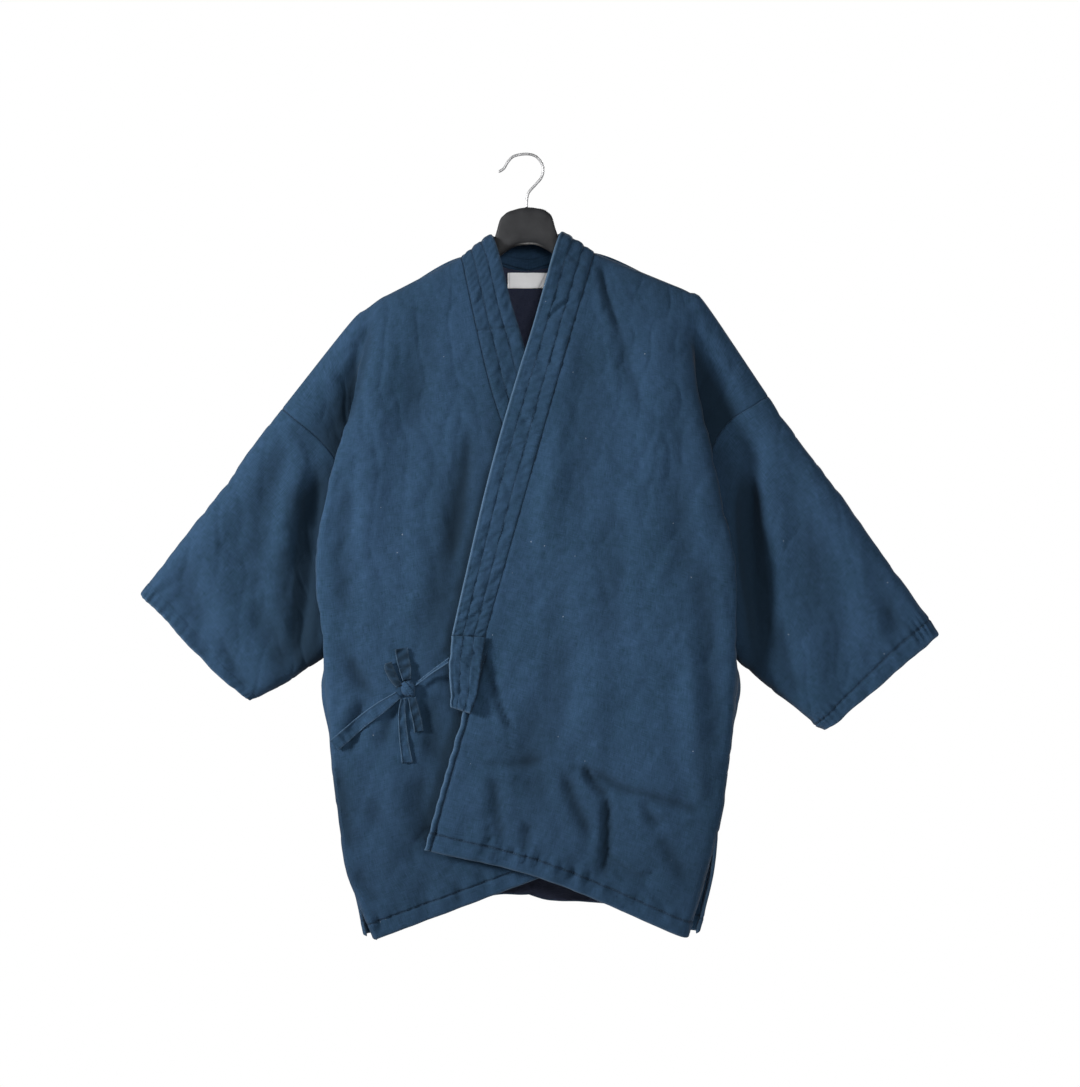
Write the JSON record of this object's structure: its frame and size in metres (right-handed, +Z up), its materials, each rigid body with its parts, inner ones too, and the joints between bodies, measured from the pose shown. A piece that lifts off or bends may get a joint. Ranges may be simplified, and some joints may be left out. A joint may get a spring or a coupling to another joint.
{
  "type": "padded samue jacket on a hanger",
  "caption": "Padded cotton samue jacket with a quilted crossover collar, wide sleeves, side slits and a tie bow, hanging on a plain hanger.",
  "frame": {"origin": "inside top of the hanger's hook, where a rail or wall hook holds it", "axes": "+Z up, the jacket's front faces -Y, +X towards the wearer's left sleeve"},
  "size_m": [0.8792, 0.0939, 0.8646],
  "materials": {
    "cloth": "matt navy cotton",
    "lining": "dark satin lining",
    "label": "woven label, bare",
    "hanger_plastic": "matt black plastic",
    "hook_wire": "bright wire"
  },
  "bodies": {
    "root": {"back_left": "cloth", "back_right": "cloth", "front_left": "cloth", "front_right": "cloth", "sleeve_left": "cloth", "sleeve_right": "cloth", "collar_back": "cloth", "collar_left": "cloth", "collar_right": "cloth", "collar_tail": "cloth", "tie_side": "cloth", "tie_front": "cloth", "tie_knot": "cloth", "tie_loop": "cloth", "tie_end_up": "cloth", "tie_end_short": "cloth", "tie_end_long": "cloth", "lining_back": "lining", "neck_label": "label", "hanger_body": "hanger_plastic", "hanger_hook": "hook_wire"}
  },
  "joints": []
}
